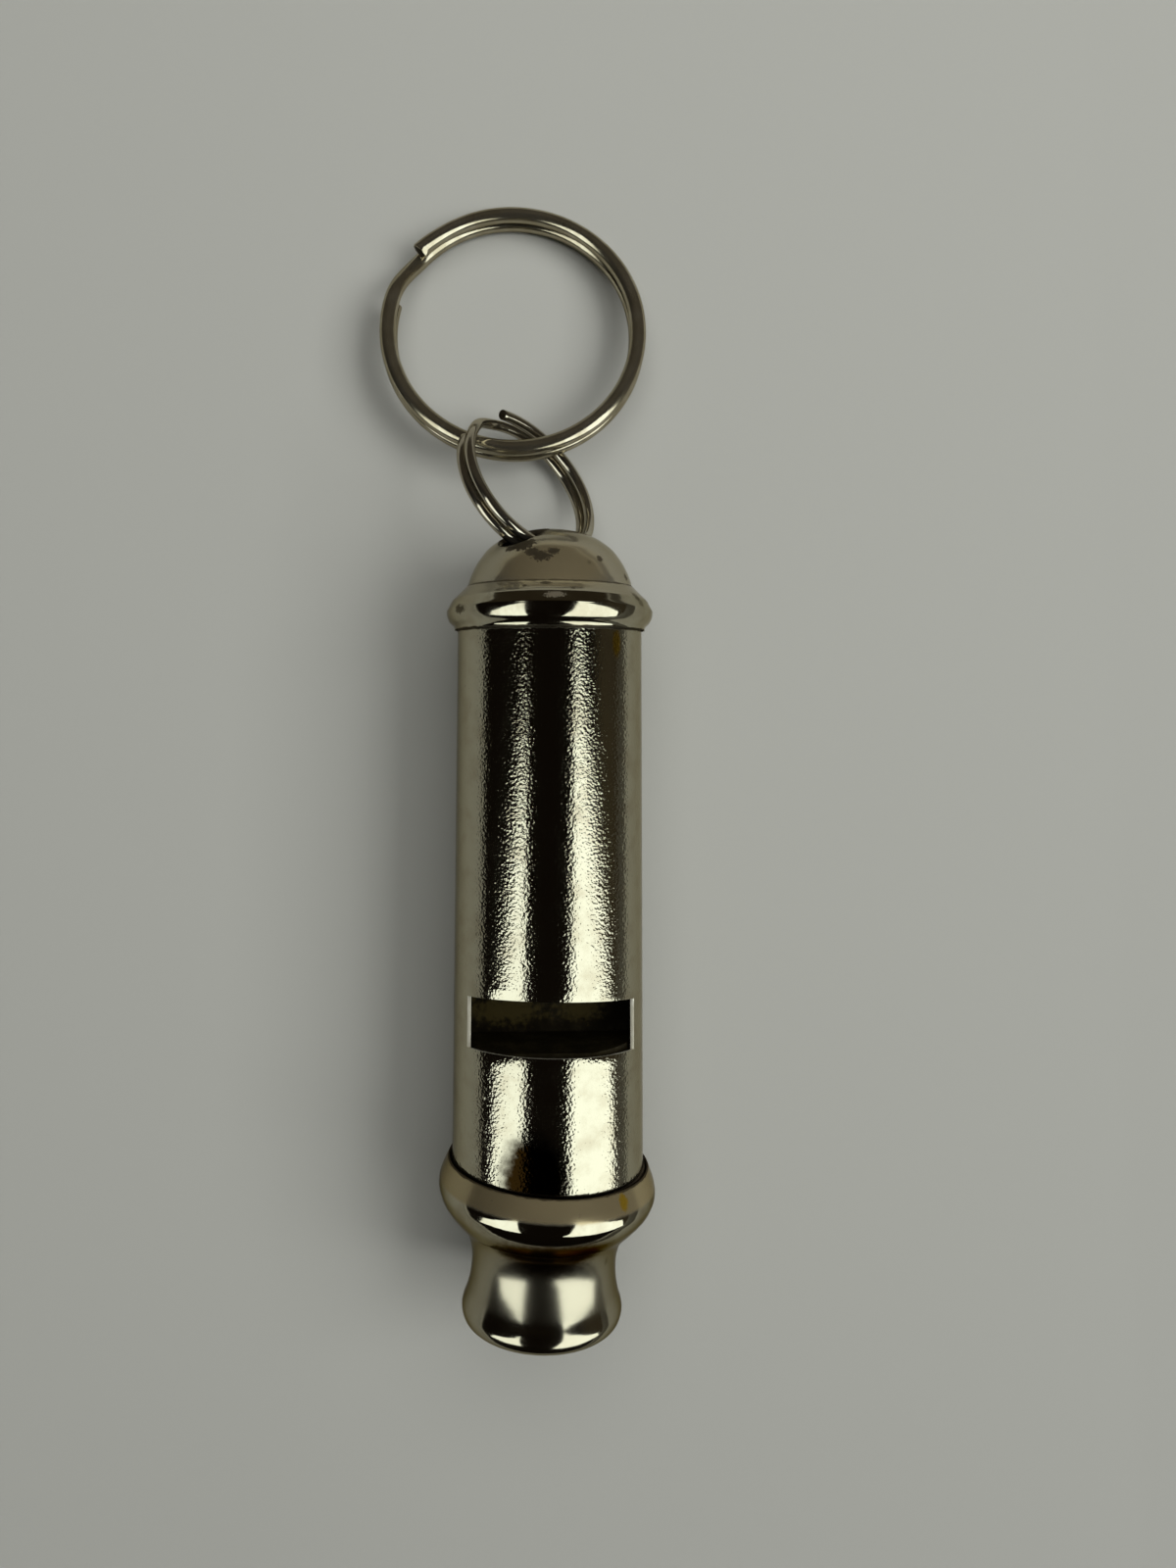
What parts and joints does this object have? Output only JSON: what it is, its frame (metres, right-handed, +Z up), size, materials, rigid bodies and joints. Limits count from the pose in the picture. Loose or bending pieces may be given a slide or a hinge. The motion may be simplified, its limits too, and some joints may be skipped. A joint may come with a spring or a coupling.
{
  "type": "police whistle",
  "caption": "Tube police whistle with a domed cap, sound windows front and back, a flared mouthpiece, and a split ring through the dome that carries a key ring.",
  "frame": {"origin": "on the table, under the middle of the whole object's box", "axes": "+Y along the whistle from its mouthpiece to its cap and rings, +Z up out of the front window"},
  "size_m": [0.0248, 0.0976, 0.018],
  "materials": {
    "nickel_satin": "nickel plate on brass, slightly grainy",
    "nickel_polished": "polished nickel plate on brass, tarnished in places",
    "brass_tarnished": "dull tarnished brass",
    "solder": "dull soft solder",
    "ring_steel": "bright nickel-plated spring steel"
  },
  "bodies": {
    "whistle": {"barrel": "nickel_satin", "top_cap": "nickel_polished", "mouthpiece": "nickel_polished", "divider_plate": "brass_tarnished", "front_windway_block": "brass_tarnished", "rear_windway_block": "brass_tarnished", "front_chamber_stop": "brass_tarnished", "rear_chamber_stop": "brass_tarnished", "cap_solder": "solder", "mouthpiece_solder": "solder"},
    "small_ring": {"small_split_ring": "ring_steel"},
    "large_ring": {"key_ring": "ring_steel"}
  },
  "joints": [
    {"name": "small_ring_swing", "type": "hinge", "parent": "whistle", "child": "small_ring", "pos_m": [0.00339, 0.01564, 0.009], "axis": [-0.6896, 0, 0.7242], "range_deg": [-85, 30]},
    {"name": "key_ring_swing", "type": "hinge", "parent": "small_ring", "child": "large_ring", "pos_m": [-0.00001, 0.02471, 0.00475], "axis": [1, 0, 0], "range_deg": [-40, 80]}
  ]
}
